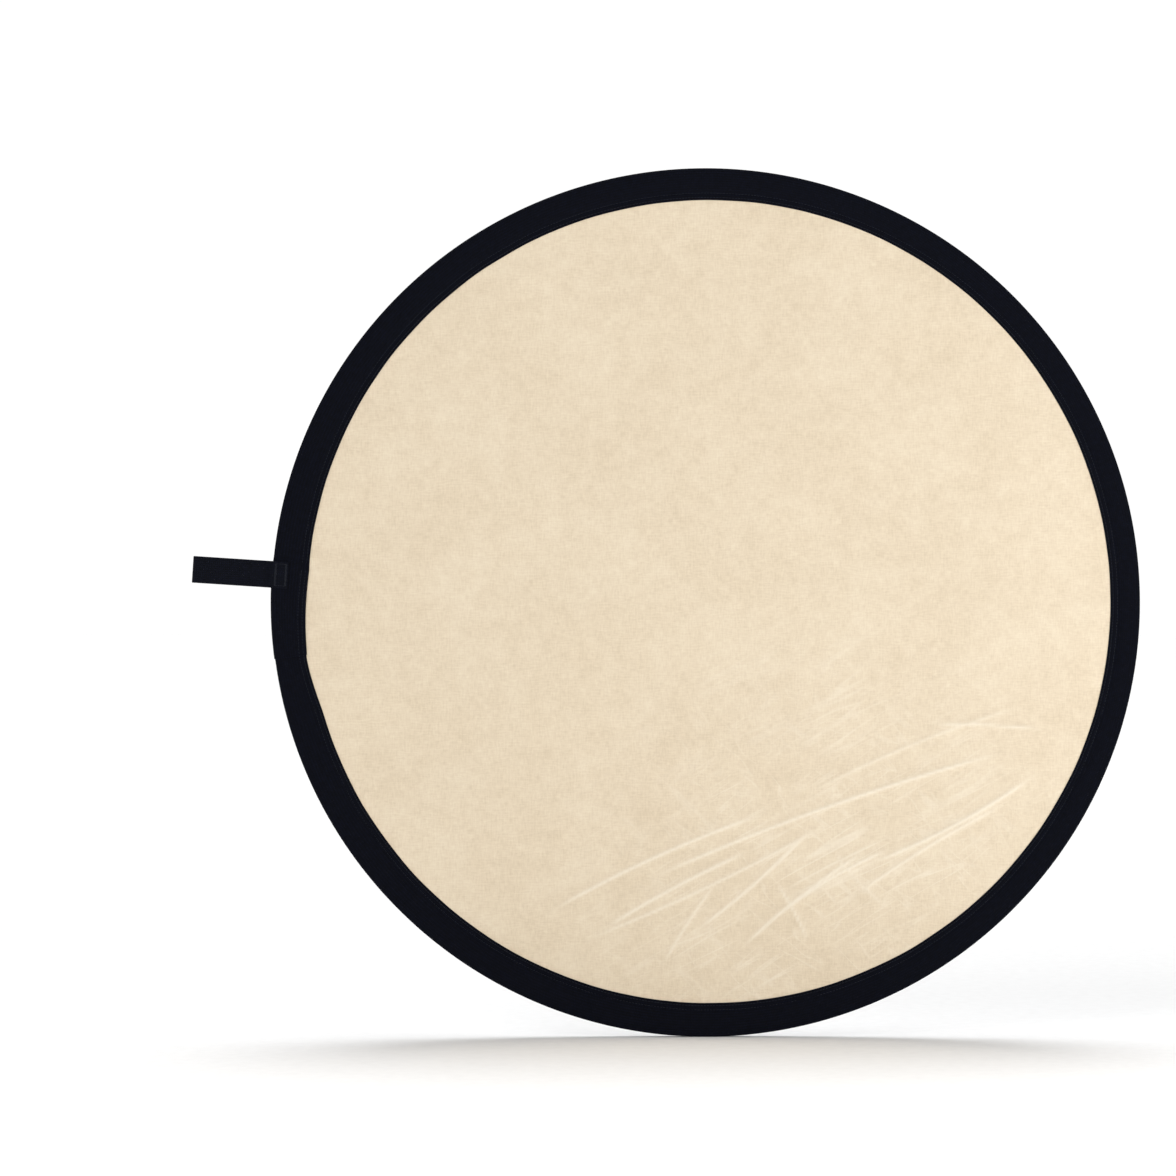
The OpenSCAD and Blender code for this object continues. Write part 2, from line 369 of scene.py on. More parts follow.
@dataclass(frozen=True)
class CoatedCloth(Finish):
    """Woven polyester cloth with a metallised film pressed on.

    The film follows the threads, so it glows softly, with fine slubs along both thread
    directions. Highlights are painted into its colour along the hairline creases and the
    backs of the large creases.
    """

    name: str
    slot: str
    tones: tuple[tuple[float, str], ...]
    # colour of the highlight painted along the creases
    crease_highlight_tone: str
    metallic: float
    roughness: tuple[float, float]
    hairlines: tuple[Hairlines, ...]
    crease_relief: float
    crease_patch: tuple[float, float, float]  # x, z and radius of where hairlines gather
    crease_floor: float  # share of the hairlines elsewhere
    fold_highlight: float  # how strongly a highlight is painted on the ridges of the large creases
    mottle: float = 17 * MM
    blotch: float = 95 * MM
    blotch_share: float = 0.4
    thread_share: float = 0.35  # how much of the tone comes from the threads
    patch_core: float = 0.4  # share of the patch's radius where hairlines are at their full
    # Threads are 0.25 mm apart, which is too fine to show, so slubs stand for them.
    slub_pitch: float = 1.5 * MM
    slub_length: float = 8 * MM
    slub_relief: float = 0.10 * MM
    slub_band: tuple[float, float] = (0.55, 1.45)  # usual range of both ways added up
    crumple_pitch: float = 14 * MM
    crumple_relief: float = 0.30 * MM

    def shader(self, nodes: Nodes) -> bpy.types.NodeSocket:
        """Builds the cloth from its threads up."""
        flat = nodes.add("UVMap", {"uv_map": FLAT_MAP}).outputs["UV"]
        cloth = self._threads(nodes, flat)
        settings = {"Scale": 1 / self.mottle, "Detail": 5.0, "Roughness": 0.6}
        mottle = nodes.add("TexNoise", settings, {"Vector": flat}).outputs["Fac"]
        settings = {"Scale": 1 / self.blotch, "Detail": 2.0}
        blotch = nodes.add("TexNoise", settings, {"Vector": flat}).outputs["Fac"]
        settings = {"data_type": "FLOAT", "Factor": self.blotch_share}
        mixed = nodes.add("Mix", settings, {2: mottle, 3: blotch})
        settings = {"data_type": "FLOAT", "Factor": self.thread_share}
        mixed = nodes.add("Mix", settings, {2: mixed.outputs[0], 3: cloth})
        colour = nodes.tones(mixed.outputs[0], self.tones)
        # Painted highlight: the hairlines and the marked backs of the large creases lighten the colour
        # towards the highlight tone. The same lines also give real relief through the bumps below.
        painted_highlight = nodes.add("Attribute", {"attribute_name": FOLD_HIGHLIGHT}).outputs["Fac"]
        painted_highlight = nodes.add("Math", {"operation": "MULTIPLY", 1: self.fold_highlight}, {0: painted_highlight}).outputs[0]
        links = {0: self._net(nodes, flat), 1: painted_highlight}
        creases = nodes.add("Math", {"operation": "MAXIMUM"}, links).outputs[0]
        links = {"Fac": creases, "Color1": colour}
        highlighted_colour = nodes.add("MixRGB", {"Color2": linear_rgba(self.crease_highlight_tone)}, links)
        settings = {"Scale": 1 / self.crumple_pitch, "Detail": 4.0, "Roughness": 0.65}
        crumple = nodes.add("TexNoise", settings, {"Vector": flat}).outputs["Fac"]
        normal = None
        for height, relief in (
            (crumple, self.crumple_relief),
            (creases, self.crease_relief),
            (cloth, self.slub_relief),
        ):
            links = {"Height": height} | ({"Normal": normal} if normal else {})
            normal = nodes.add("Bump", {"Distance": relief}, links).outputs["Normal"]
        rough = nodes.spread(cloth, (0.0, self.roughness[1]), (1.0, self.roughness[0]))
        links = {"Base Color": highlighted_colour.outputs["Color"], "Roughness": rough, "Normal": normal}
        return nodes.add("BsdfPrincipled", {"Metallic": self.metallic}, links).outputs["BSDF"]

    def _threads(self, nodes: Nodes, flat: bpy.types.NodeSocket) -> bpy.types.NodeSocket:
        """Draws thick and thin places along the threads both ways, from 0 to 1."""
        across, along = 1 / self.slub_pitch, 1 / self.slub_length
        slubs = []
        for scale in ((across, along, 1.0), (along, across, 1.0)):
            laid = nodes.add("Mapping", {"Scale": scale}, {"Vector": flat}).outputs["Vector"]
            settings = {"Scale": 1.0, "Detail": 2.0, "Roughness": 0.6}
            slubs.append(nodes.add("TexNoise", settings, {"Vector": laid}).outputs["Fac"])
        both = nodes.add("Math", {"operation": "ADD"}, {0: slubs[0], 1: slubs[1]}).outputs[0]
        return nodes.spread(both, (self.slub_band[0], 0.0), (self.slub_band[1], 1.0))

    def _net(self, nodes: Nodes, flat: bpy.types.NodeSocket) -> bpy.types.NodeSocket:
        """Draws the net of hairline creases, densest in its patch.

        Args:
            nodes: the material's nodes.
            flat: places on the flat cloth.

        Returns:
            A number that is highest on a hairline and 0 off it.
        """
        net = None
        for family in self.hairlines:
            settings = {"Rotation": (0.0, 0.0, -math.radians(family.turn))}
            turned = nodes.add("Mapping", settings, {"Vector": flat}).outputs["Vector"]
            settings = {"Scale": (1 / family.length, 1 / family.spacing, 1.0)}
            laid = nodes.add("Mapping", settings, {"Vector": turned}).outputs["Vector"]
            settings = {"Scale": 1.0, "Detail": 1.5, "Roughness": 0.45}
            wave = nodes.add("TexNoise", settings, {"Vector": laid}).outputs["Fac"]
            off = nodes.add("Math", {"operation": "SUBTRACT", 1: 0.5}, {0: wave}).outputs[0]
            off = nodes.add("Math", {"operation": "ABSOLUTE"}, {0: off}).outputs[0]
            line = nodes.spread(off, (0.0, family.strength), (family.width * 0.5, 0.0))
            settings = {"Scale": family.gap_scale / family.length, "Detail": 2.0}
            gaps = nodes.add("TexNoise", settings, {"Vector": flat}).outputs["Fac"]
            gaps = nodes.spread(gaps, (family.gap_band[0], 0.0), (family.gap_band[1], 1.0))
            line = nodes.add("Math", {"operation": "MULTIPLY"}, {0: line, 1: gaps}).outputs[0]
            if net is None:
                net = line
            else:
                net = nodes.add("Math", {"operation": "MAXIMUM"}, {0: net, 1: line}).outputs[0]
        x, z, radius = self.crease_patch
        away = nodes.add("VectorMath", {"operation": "DISTANCE", 1: (x, z, 0.0)}, {0: flat})
        core = radius * self.patch_core
        patch = nodes.spread(away.outputs["Value"], (core, 1.0), (radius, self.crease_floor))
        return nodes.add("Math", {"operation": "MULTIPLY"}, {0: net, 1: patch}).outputs[0]


@dataclass(frozen=True)
class WovenBand(Finish):
    """Black polyester or nylon yarn woven into a band, dyed in the piece.

    Ribs run across it, and the yarn drinks nearly all light, so it looks navy-black with
    a dull bloom where it turns to the light.
    """

    name: str
    slot: str
    tones: tuple[tuple[float, str], ...]
    rib_pitch: float
    rib_relief: float
    cross_pitch: float
    gloss: float = 0.08
    roughness: float = 0.74
    bloom: float = 0.03
    bloom_tone: str = "#5A6A90"
    bloom_roughness: float = 0.45
    unevenness: float = 0.35  # how far the yarns wander from straight
    lint_pitch: float = 5 * MM
    weave_share: float = 0.4

    def shader(self, nodes: Nodes) -> bpy.types.NodeSocket:
        """Builds ribs, picks and lint."""
        flat = nodes.add("UVMap", {"uv_map": FLAT_MAP}).outputs["UV"]
        heights = []
        for direction, pitch in (("X", self.rib_pitch), ("Y", self.cross_pitch)):
            settings = {
                "wave_type": "BANDS",
                "bands_direction": direction,
                "Scale": wave_scale(pitch),
                "Distortion": self.unevenness,
                "Detail": 1.0,
                "Detail Scale": 0.6,
            }
            heights.append(nodes.add("TexWave", settings, {"Vector": flat}).outputs["Fac"])
        weave = nodes.add("Math", {"operation": "MULTIPLY"}, {0: heights[0], 1: heights[1]}).outputs[0]
        settings = {"Scale": 1 / self.lint_pitch, "Detail": 5.0, "Roughness": 0.7}
        lint = nodes.add("TexNoise", settings, {"Vector": flat}).outputs["Fac"]
        settings = {"data_type": "FLOAT", "Factor": self.weave_share}
        mixed = nodes.add("Mix", settings, {2: lint, 3: weave}).outputs[0]
        colour = nodes.tones(mixed, self.tones)
        bump = nodes.add("Bump", {"Distance": self.rib_relief}, {"Height": weave}).outputs["Normal"]
        settings = {
            "Roughness": self.roughness,
            "Specular IOR Level": self.gloss,
            "Sheen Weight": self.bloom,
            "Sheen Roughness": self.bloom_roughness,
            "Sheen Tint": linear_rgba(self.bloom_tone),
        }
        return nodes.add(
            "BsdfPrincipled", settings, {"Base Color": colour, "Normal": bump}
        ).outputs["BSDF"]


@dataclass(frozen=True)
class TwistedThread(Finish):
    """Spun polyester sewing thread, twisted and waxed, so each stitch has a dull glint."""

    name: str
    slot: str
    tones: tuple[tuple[float, str], ...]
    twist_pitch: float = 0.8 * MM
    twist_relief: float = 0.05 * MM
    roughness: float = 0.5
    gloss: float = 0.3

    def shader(self, nodes: Nodes) -> bpy.types.NodeSocket:
        """Builds the twist as slanting bands."""
        flat = nodes.add("UVMap", {"uv_map": FLAT_MAP}).outputs["UV"]
        settings = {"bands_direction": "DIAGONAL", "Scale": wave_scale(self.twist_pitch)}
        twist = nodes.add("TexWave", settings, {"Vector": flat}).outputs["Fac"]
        colour = nodes.tones(twist, self.tones)
        bump = nodes.add("Bump", {"Distance": self.twist_relief}, {"Height": twist}).outputs["Normal"]
        settings = {"Roughness": self.roughness, "Specular IOR Level": self.gloss}
        return nodes.add(
            "BsdfPrincipled", settings, {"Base Color": colour, "Normal": bump}
        ).outputs["BSDF"]


@dataclass(frozen=True)
class Metal(Finish):
    """A metal part with fine marks from how it was rolled, pressed or plated."""

    name: str
    slot: str
    tones: tuple[tuple[float, str], ...]
    roughness: tuple[float, float]
    grain: tuple[float, float, float]  # marks per metre along each axis
    relief: float = 0.02 * MM
    on_flat: bool = False  # whether the marks follow the flat map

    def shader(self, nodes: Nodes) -> bpy.types.NodeSocket:
        """Builds streaks or spangle, and the roughness they give."""
        if self.on_flat:
            place = nodes.add("UVMap", {"uv_map": FLAT_MAP}).outputs["UV"]
        else:
            place = nodes.add("TexCoord").outputs["Object"]
        laid = nodes.add("Mapping", {"Scale": self.grain}, {"Vector": place}).outputs["Vector"]
        settings = {"Scale": 1.0, "Detail": 4.0, "Roughness": 0.6}
        marks = nodes.add("TexNoise", settings, {"Vector": laid}).outputs["Fac"]
        colour = nodes.tones(marks, self.tones)
        rough = nodes.spread(marks, (0.3, self.roughness[0]), (0.7, self.roughness[1]))
        bump = nodes.add("Bump", {"Distance": self.relief}, {"Height": marks}).outputs["Normal"]
        links = {"Base Color": colour, "Roughness": rough, "Normal": bump}
        return nodes.add("BsdfPrincipled", {"Metallic": 1.0}, links).outputs["BSDF"]


@dataclass(frozen=True)
class PlainWeave(Finish):
    """Plain-woven cloth without a coating: matt, with its threads just showing."""

    name: str
    slot: str
    tones: tuple[tuple[float, str], ...]
    pitch: float
    relief: float
    on_flat: bool = True
    roughness: float = 0.85
    gloss: float = 0.25

    def shader(self, nodes: Nodes) -> bpy.types.NodeSocket:
        """Builds the over-and-under of the threads."""
        if self.on_flat:
            place = nodes.add("UVMap", {"uv_map": FLAT_MAP}).outputs["UV"]
        else:
            place = nodes.add("TexCoord").outputs["Object"]
        bands = []
        for direction in ("X", "Y") if self.on_flat else ("X", "Z"):
            settings = {"bands_direction": direction, "Scale": wave_scale(self.pitch)}
            bands.append(nodes.add("TexWave", settings, {"Vector": place}).outputs["Fac"])
        weave = nodes.add("Math", {"operation": "MULTIPLY"}, {0: bands[0], 1: bands[1]}).outputs[0]
        colour = nodes.tones(weave, self.tones)
        bump = nodes.add("Bump", {"Distance": self.relief}, {"Height": weave}).outputs["Normal"]
        settings = {"Roughness": self.roughness, "Specular IOR Level": self.gloss}
        return nodes.add(
            "BsdfPrincipled", settings, {"Base Color": colour, "Normal": bump}
        ).outputs["BSDF"]


@dataclass(frozen=True)
class MattPaper(Finish):
    """Seamless studio paper: dead matt and nearly white, with a trace of fibre."""

    name: str = "seamless_paper_matt"
    slot: str = ""
    fibre_pitch: float = 12 * MM

    def shader(self, nodes: Nodes) -> bpy.types.NodeSocket:
        """Builds a matt white with a little fibre in it."""
        place = nodes.add("TexCoord").outputs["Object"]
        settings = {"Scale": 1 / self.fibre_pitch, "Detail": 3.0}
        fibre = nodes.add("TexNoise", settings, {"Vector": place}).outputs["Fac"]
        colour = nodes.tones(fibre, ((0.3, "#F6F6F6"), (0.7, "#FAFAFA")))
        settings = {"Roughness": 1.0, "Specular IOR Level": 0.0}
        return nodes.add("BsdfPrincipled", settings, {"Base Color": colour}).outputs["BSDF"]


CREAM_CLOTH = CoatedCloth(
    name="cream_gold_film_on_woven_polyester",
    slot="cream_gold_fabric",
    tones=((0.34, "#DFCDB1"), (0.50, "#E8D7BC"), (0.66, "#EFE0C6")),
    # The highlight along the creases is painted into the colour, in this tone.
    crease_highlight_tone="#FBF1DE",
    metallic=0.2,
    roughness=(0.42, 0.60),
    hairlines=(
        Hairlines(turn=28, length=210 * MM, spacing=16 * MM, width=0.06, strength=0.45),
        Hairlines(turn=36, length=100 * MM, spacing=11 * MM, width=0.06, strength=0.3),
        Hairlines(turn=-42, length=70 * MM, spacing=16 * MM, width=0.06, strength=0.3),
    ),
    crease_relief=0.30 * MM,
    crease_patch=(0.11, -0.27, 0.27),
    crease_floor=0.06,
    # strength of the highlight painted on the large creases' backs
    fold_highlight=0.75,
)
SILVER_CLOTH = CoatedCloth(
    name="silver_film_on_woven_polyester",
    slot="silver_fabric",
    tones=((0.36, "#8E8F91"), (0.50, "#ABACAE"), (0.64, "#CDCED0")),
    # The highlight along the creases is painted into the colour, in this tone.
    crease_highlight_tone="#F8F8F8",
    metallic=0.7,
    roughness=(0.30, 0.46),
    hairlines=(
        Hairlines(turn=8, length=90 * MM, spacing=34 * MM, width=0.08, strength=0.22),
        Hairlines(turn=64, length=70 * MM, spacing=30 * MM, width=0.08, strength=0.16),
    ),
    crease_relief=0.4 * MM,
    crease_patch=(0.0, 0.0, 0.8),
    crease_floor=0.8,
    # strength of the highlight painted on the large folds' backs
    fold_highlight=0.5,
    mottle=24 * MM,
    blotch=110 * MM,
    blotch_share=0.5,
    slub_relief=0.16 * MM,
    crumple_pitch=34 * MM,
    crumple_relief=5.0 * MM,
)
LINING_CLOTH = PlainWeave(
    name="charcoal_taffeta_plain_woven",
    slot="blockout_lining",
    tones=((0.2, "#1E1E20"), (0.8, "#343437")),
    pitch=1.2 * MM,
    relief=0.1 * MM,
)
BINDING_TAPE = WovenBand(
    name="black_polyester_tape_ribbed_weave",
    slot="black_tape",
    tones=((0.25, "#03040A"), (0.6, "#080B18"), (0.9, "#10162B")),
    # Real ribs are 0.5 mm apart, too fine to show, so they are drawn at three times that.
    rib_pitch=1.5 * MM,
    rib_relief=0.14 * MM,
    cross_pitch=2.4 * MM,
)
STRAP_WEBBING = WovenBand(
    name="black_nylon_webbing_woven",
    slot="webbing",
    tones=((0.25, "#04060C"), (0.6, "#090C1A"), (0.9, "#13192E")),
    rib_pitch=1.9 * MM,
    rib_relief=0.3 * MM,
    cross_pitch=2.1 * MM,
    gloss=0.10,
)
SEWING_THREAD = TwistedThread(
    name="black_polyester_thread_twisted",
    slot="black_thread",
    tones=((0.2, "#0A0C12"), (0.8, "#1C2230")),
)
HOOP_STEEL = Metal(
    name="spring_steel_rolled_and_blued",
    slot="spring_steel",
    tones=((0.3, "#4B5260"), (0.7, "#6C7482")),
    roughness=(0.24, 0.40),
    grain=(1 / (60 * MM), 1 / (0.8 * MM), 1.0),
    on_flat=True,
)
SLEEVE_ZINC = Metal(
    name="steel_sleeve_zinc_plated",
    slot="zinc_sleeve",
    tones=((0.3, "#A9ADB1"), (0.7, "#C9CCCE")),
    roughness=(0.28, 0.45),
    grain=(1 / (2 * MM), 1 / (2 * MM), 1 / (2 * MM)),
)
RIVET_ALUMINIUM = Metal(
    name="aluminium_rivet_pressed",
    slot="rivet",
    tones=((0.3, "#B8BABC"), (0.7, "#D2D3D4")),
    roughness=(0.30, 0.50),
    grain=(1 / (1 * MM), 1 / (0.4 * MM), 1 / (1 * MM)),
)
SLEEVE_TAPE = PlainWeave(
    name="cotton_cloth_tape_plain_woven",
    slot="cloth_tape",
    tones=((0.2, "#17181B"), (0.8, "#2C2E33")),
    pitch=1.0 * MM,
    relief=0.12 * MM,
    on_flat=False,
)


# ---- the frame that every piece is sewn to ----


@dataclass(frozen=True)
class Span:
    """A stretch of every sewn piece, from the middle of one panel to the middle of the next.

    Its hinge lies between the two panels' bodies.
    """

    name: str
    panels: tuple[str, str]
    low_x: float
    high_x: float
    hinge_x: float
    height: float
    reach: float = 76 * MM  # distance from the hinge line, each way

    def bend(self, obj: bpy.types.Object, layer: str) -> None:
        """Bakes a piece's placement into its mesh and hides the layer's two nodes, which it stands
        for.

        Args:
            obj: the piece, with its final mesh.
            layer: the first part of the CAD nodes' names.
        """
        left, right = self.panels
        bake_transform(obj)
        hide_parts(f"{layer}_{left}", f"{layer}_{right}")


@dataclass(frozen=True)
class DiscFrame:
    """Overall sizes of the disc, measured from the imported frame."""

    radius: float
    centre_z: float
    hinges: tuple[float, ...]

    PANELS = ("left_outer", "left_inner", "centre", "right_inner", "right_outer")

    @classmethod
    def measured(cls) -> "DiscFrame":
        """Reads the rim's size and the hinge lines from the frame."""
        boxes = [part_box(f"rim_binding_{panel}") for panel in cls.PANELS]
        low = min(lower.z for lower, _ in boxes)
        high = max(upper.z for _, upper in boxes)
        bends = [j for j in frame["joints"] if j["name"].endswith("_bend")]
        return cls(
            radius=(high - low) / 2,
            centre_z=(high + low) / 2,
            hinges=tuple(sorted(j["pos_m"][0] for j in bends)),
        )

    @property
    def cuts(self) -> tuple[float, ...]:
        """X of the lines between spans: the middles of the three inner panels."""
        return tuple((a + b) / 2 for a, b in zip(self.hinges, self.hinges[1:]))

    def spans(self) -> list[Span]:
        """Gives the four spans from left to right."""
        edges = (-self.radius, *self.cuts, self.radius)
        return [
            Span(
                name=f"{left}_to_{right}",
                panels=(left, right),
                low_x=edges[i],
                high_x=edges[i + 1],
                hinge_x=self.hinges[i],
                height=self.centre_z,
            )
            for i, (left, right) in enumerate(zip(self.PANELS, self.PANELS[1:]))
        ]

    def place(self, radius: Array, angle: Array, depth: Array) -> Array:
        """Turns ring places into points.

        Args:
            radius: distances from the disc's middle.
            angle: angles in radians.
            depth: Y.

        Returns:
            The points, with X, Y, Z along the last axis.
        """
        radius, angle, depth = np.broadcast_arrays(radius, angle, depth)
        x, z = radius * np.cos(angle), radius * np.sin(angle) + self.centre_z
        return np.stack([x, depth, z], -1)


# ---- the binding ----


@dataclass
class Binding:
    """The black tape folded round the hoop and the sheets' edges, and its lapped end.

    The tape was sewn by hand and eye, so the band it shows isn't the same width all round.
    """

    disc: DiscFrame
    edge_radius: float = 375.4 * MM
    drift_x: float = 3.18 * MM  # how far the band's inner circle sits off centre
    drift_z: float = 0.84 * MM
    lap_from: float = math.radians(174.0)
    lap_to: float = math.radians(187.5)
    lap_rise: float = 4.5 * MM  # how far the lap's inner edge is drawn outwards
    lap_settle: float = math.radians(197.0)
    lap_thickness: float = 0.72 * MM
    lap_gap: float = 0.03 * MM
    lap_fade: float = math.radians(1.4)  # over which it fades in under the strap
    tape_start: float = math.radians(181.0)  # the tape's beginning, hidden by the lap
    stations_per_radian: float = 170.0
    cut_fade: float = math.radians(15.0)
    flat_radius: float = 390 * MM
    wander: float = 0.35 * MM
    pucker: float = 0.16 * MM  # small gathers that the tunnel seam draws up
    pucker_pitch: float = 7 * MM
    pucker_reach: float = 3.4 * MM
    puff: float = 0.22 * MM  # slow unevenness of the tape between seam and rim
    puff_pitch: float = 31 * MM
    relief: Relief = field(default_factory=lambda: Relief(11))

    # Outside of the front half, from the folded inner edge to the middle of the rim:
    # (distance from the inner edge, distance from the disc's middle plane) in mm.
    OUTSIDE = (
        (0.35, 0.60), (0.10, 0.70), (0.00, 0.95), (0.10, 1.20), (0.35, 1.32), (1.20, 1.46),
        (1.90, 1.42), (2.30, 1.28), (2.50, 1.22), (2.70, 1.28), (3.10, 1.45), (3.90, 1.62),
        (4.70, 1.66), (5.60, 1.56), (6.20, 1.38), (6.50, 1.30), (6.80, 1.40), (7.30, 1.66),
        (8.20, 2.02), (9.60, 2.44), (11.5, 2.88), (14.0, 3.32), (17.0, 3.72), (20.0, 4.00),
        (23.0, 4.20), (25.7, 4.28), (27.6, 4.26), (28.9, 4.12), (29.7, 3.80), (30.25, 3.30),
        (30.52, 2.60), (30.6, 1.80), (30.6, 0.90), (30.6, 0.0),
    )
    # Inside of the front half, from the middle of the rim back to the inner edge.
    INSIDE = (
        (29.9, 0.0), (29.9, 1.30), (29.85, 2.40), (29.4, 3.20), (28.4, 3.48), (25.7, 3.52),
        (20.0, 3.22), (14.0, 2.48), (10.0, 1.50), (7.0, 0.66), (3.5, 0.62),
    )
    # Stations of the lap's folded end: (radians before its end, share of its thickness).
    LAP_FOLD = ((0.0008, 0.93), (0.0004, 0.72), (0.0, 0.2))
    FOLD_FROM = 0.0012
    LAP_STATIONS = 90
    LAP_THIN = 0.06  # share of its thickness where it starts
    EDGE_SEAM = 2.5 * MM
    TUNNEL_SEAM = 6.5 * MM
    HELD = 7.3 * MM  # up to here the tape follows its inner edge exactly
    RIM_FROM = 25.7 * MM  # from here it follows the hoop exactly

    def inner_radius(self, angle: Array) -> Array:
        """Radius of the band's inner edge at each angle."""
        turn = np.mod(angle, 2 * math.pi)
        rise = np.clip((turn - self.lap_from) / (self.lap_to - self.lap_from), 0, 1)
        settle = smooth((self.lap_settle - turn) / (self.lap_settle - self.lap_to))
        lap = self.lap_rise * np.where(turn < self.lap_to, rise, settle)
        wave = self.relief.at(np.cos(angle) * 9.0, np.sin(angle) * 9.0, 1.0)
        drift = self.drift_x * np.cos(angle) + self.drift_z * np.sin(angle)
        return self.edge_radius + drift + lap + self.wander * wave

    def outline(self) -> Array:
        """The tape's closed outline in (distance from edge, depth), front half first."""
        front = [(e, -d) for e, d in self.OUTSIDE]
        back = [(e, d) for e, d in self.OUTSIDE[-2::-1]]
        hidden_back = [(e, d) for e, d in self.INSIDE[::-1]]
        hidden_front = [(e, -d) for e, d in self.INSIDE[1:]]
        return np.array(front + back + hidden_back + hidden_front) * MM

    def outside(self) -> Array:
        """The open outside line from the front's inner edge round the rim to the back's."""
        shown = self.OUTSIDE[2:]
        line = [(e, -d) for e, d in shown] + [(e, d) for e, d in shown[-2::-1]]
        return np.array(line) * MM

    def ring(self, angle: Array, line: Array, lift: Array | float = 0.0) -> Array:
        """Carries a line round the rim.

        Args:
            angle: angles of K stations.
            line: J points in (distance from edge, depth).
            lift: how far each station stands off the line, outwards.

        Returns:
            K x J x 3 points.
        """
        step = np.gradient(line, axis=0)
        outwards = unit(np.stack([step[:, 1], -step[:, 0]], -1))
        raised = line[None] + outwards[None] * np.reshape(lift, (-1, 1, 1))
        edge, depth = raised[..., 0], raised[..., 1]
        column = angle[:, None]
        follows = 1 - smooth((edge - self.HELD) / (self.RIM_FROM - self.HELD))
        shift = (self.inner_radius(column) - self.edge_radius) * follows
        radius = self.edge_radius + edge + shift
        soft = smooth((edge - 1 * MM) / (2 * MM)) * smooth((self.RIM_FROM - edge) / (6 * MM))
        seams = np.exp(-(((edge - self.TUNNEL_SEAM) / self.pucker_reach) ** 2))
        arc = column * self.flat_radius
        ripple = self.pucker * seams * self.relief.at(arc, edge * 0.3, self.pucker_pitch)
        ripple = ripple + self.puff * soft * self.relief.at(arc, edge, self.puff_pitch)
        side = np.sign(depth)
        shown = np.abs(depth) > 1.0 * MM
        depth = depth + side * ripple * soft * shown
        return self.disc.place(radius, self.skewed(column, radius), depth)

    def skewed(self, angle: Array, radius: Array) -> Array:
        """Leans the columns near a cut so that the cut is flat across the tape."""
        out = angle + np.zeros_like(radius)
        reach = self.disc.cuts[-1]
        lean = np.arccos(reach / radius) - math.acos(reach / self.flat_radius)
        cut = math.acos(reach / self.flat_radius)
        for place, sense in ((cut, 1), (math.pi - cut, -1), (math.pi + cut, 1), (-cut, -1)):
            gap = np.abs(np.mod(angle - place + math.pi, 2 * math.pi) - math.pi)
            out = out + sense * lean * smooth(1 - gap / self.cut_fade)
        return out

    def arcs(self, span: Span) -> list[tuple[float, float]]:
        """Gives the stretches of rim that a span covers, as angles that run on.

        Args:
            span: the span.

        Returns:
            Pairs of a first and a last angle. The tape begins and ends at its start, so
            angles past that are given one turn less.
        """
        edges = []
        for x in (span.high_x, span.low_x):
            inside = abs(x) < self.disc.radius * 0.99
            edges.append(math.acos(x / self.flat_radius) if inside else (0.0 if x > 0 else math.pi))
        first, last = edges
        if first == 0.0:
            return [(-last, last)]
        if last == math.pi:
            return [(first, self.tape_start), (self.tape_start - 2 * math.pi, -first)]
        return [(first, last), (-last, -first)]

    def stations(self, first: float, last: float) -> Array:
        """Evenly spaced angles from first to last, and one ghost angle past each end."""
        count = max(8, round((last - first) * self.stations_per_radian))
        step = (last - first) / count
        return first + step * np.arange(-1, count + 2)

    def build(self, span: Span) -> bpy.types.Object:
        """Makes the tape over one span."""
        outline = self.outline()
        across = np.concatenate([[0], np.cumsum(np.linalg.norm(np.diff(outline, axis=0), axis=1))])
        draft = Draft()
        for first, last in self.arcs(span):
            angle = self.stations(first, last)
            points = self.ring(angle, outline)
            along = np.repeat((angle * self.flat_radius)[:, None], len(across), axis=1)
            flat = np.stack([along, np.tile(across, (len(angle), 1))], -1)
            draft.sweep(points, flat, ghosts=True)
        obj = draft.make(f"binding_tape_{span.name}", BINDING_TAPE)
        span.bend(obj, "rim_binding")
        return obj

    def build_lap(self) -> bpy.types.Object:
        """Makes the tape's lapped end, which fades in under the strap and ends in a fold."""
        line = self.outside()
        fold = self.lap_to - np.array([step for step, _ in self.LAP_FOLD])
        straight = np.linspace(self.lap_from, self.lap_to - self.FOLD_FROM, self.LAP_STATIONS)
        angle = np.concatenate([straight, fold])
        thin = self.LAP_THIN
        rise = thin + (1 - thin) * smooth((angle - self.lap_from) / self.lap_fade)
        rise[-len(fold) :] = [share for _, share in self.LAP_FOLD]
        outer = self.ring(angle, line, self.lap_gap + rise * self.lap_thickness)
        under = self.ring(angle, line, self.lap_gap)
        points = np.concatenate([outer, under[:, ::-1]], axis=1)
        across = np.concatenate([[0], np.cumsum(np.linalg.norm(np.diff(line, axis=0), axis=1))])
        across = np.concatenate([across, across[::-1]])
        along = np.repeat((angle * self.flat_radius)[:, None], len(across), axis=1)
        draft = Draft()
        draft.sweep(points, np.stack([along, np.tile(across, (len(angle), 1))], -1))
        obj = draft.make("binding_tape_lapped_end", BINDING_TAPE)
        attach(obj, "left_outer_panel")
        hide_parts("binding_lap")
        return obj

    def surface(self, angle: Array, edge: float, side: Side) -> Array:
        """Points on the tape's outside, on top of the lap where there is one.

        Args:
            angle: K angles.
            edge: distance outwards from the inner edge.
            side: front or back.

        Returns:
            K x 3 points.
        """
        line = self.outside()
        half = line[: len(line) // 2 + 1]
        depth = np.interp(edge, half[:, 0], -half[:, 1])
        probe = np.array([[edge, side.value * depth], [edge + 0.2 * MM, side.value * depth]])
        points = self.ring(angle, probe)[:, 0]
        turn = np.mod(angle, 2 * math.pi)
        on_lap = (turn > self.lap_from + math.radians(1.0)) & (turn < self.lap_to)
        points[:, 1] += side.value * np.where(on_lap, self.lap_thickness, 0.0)
        return points


# ---- stitches ----


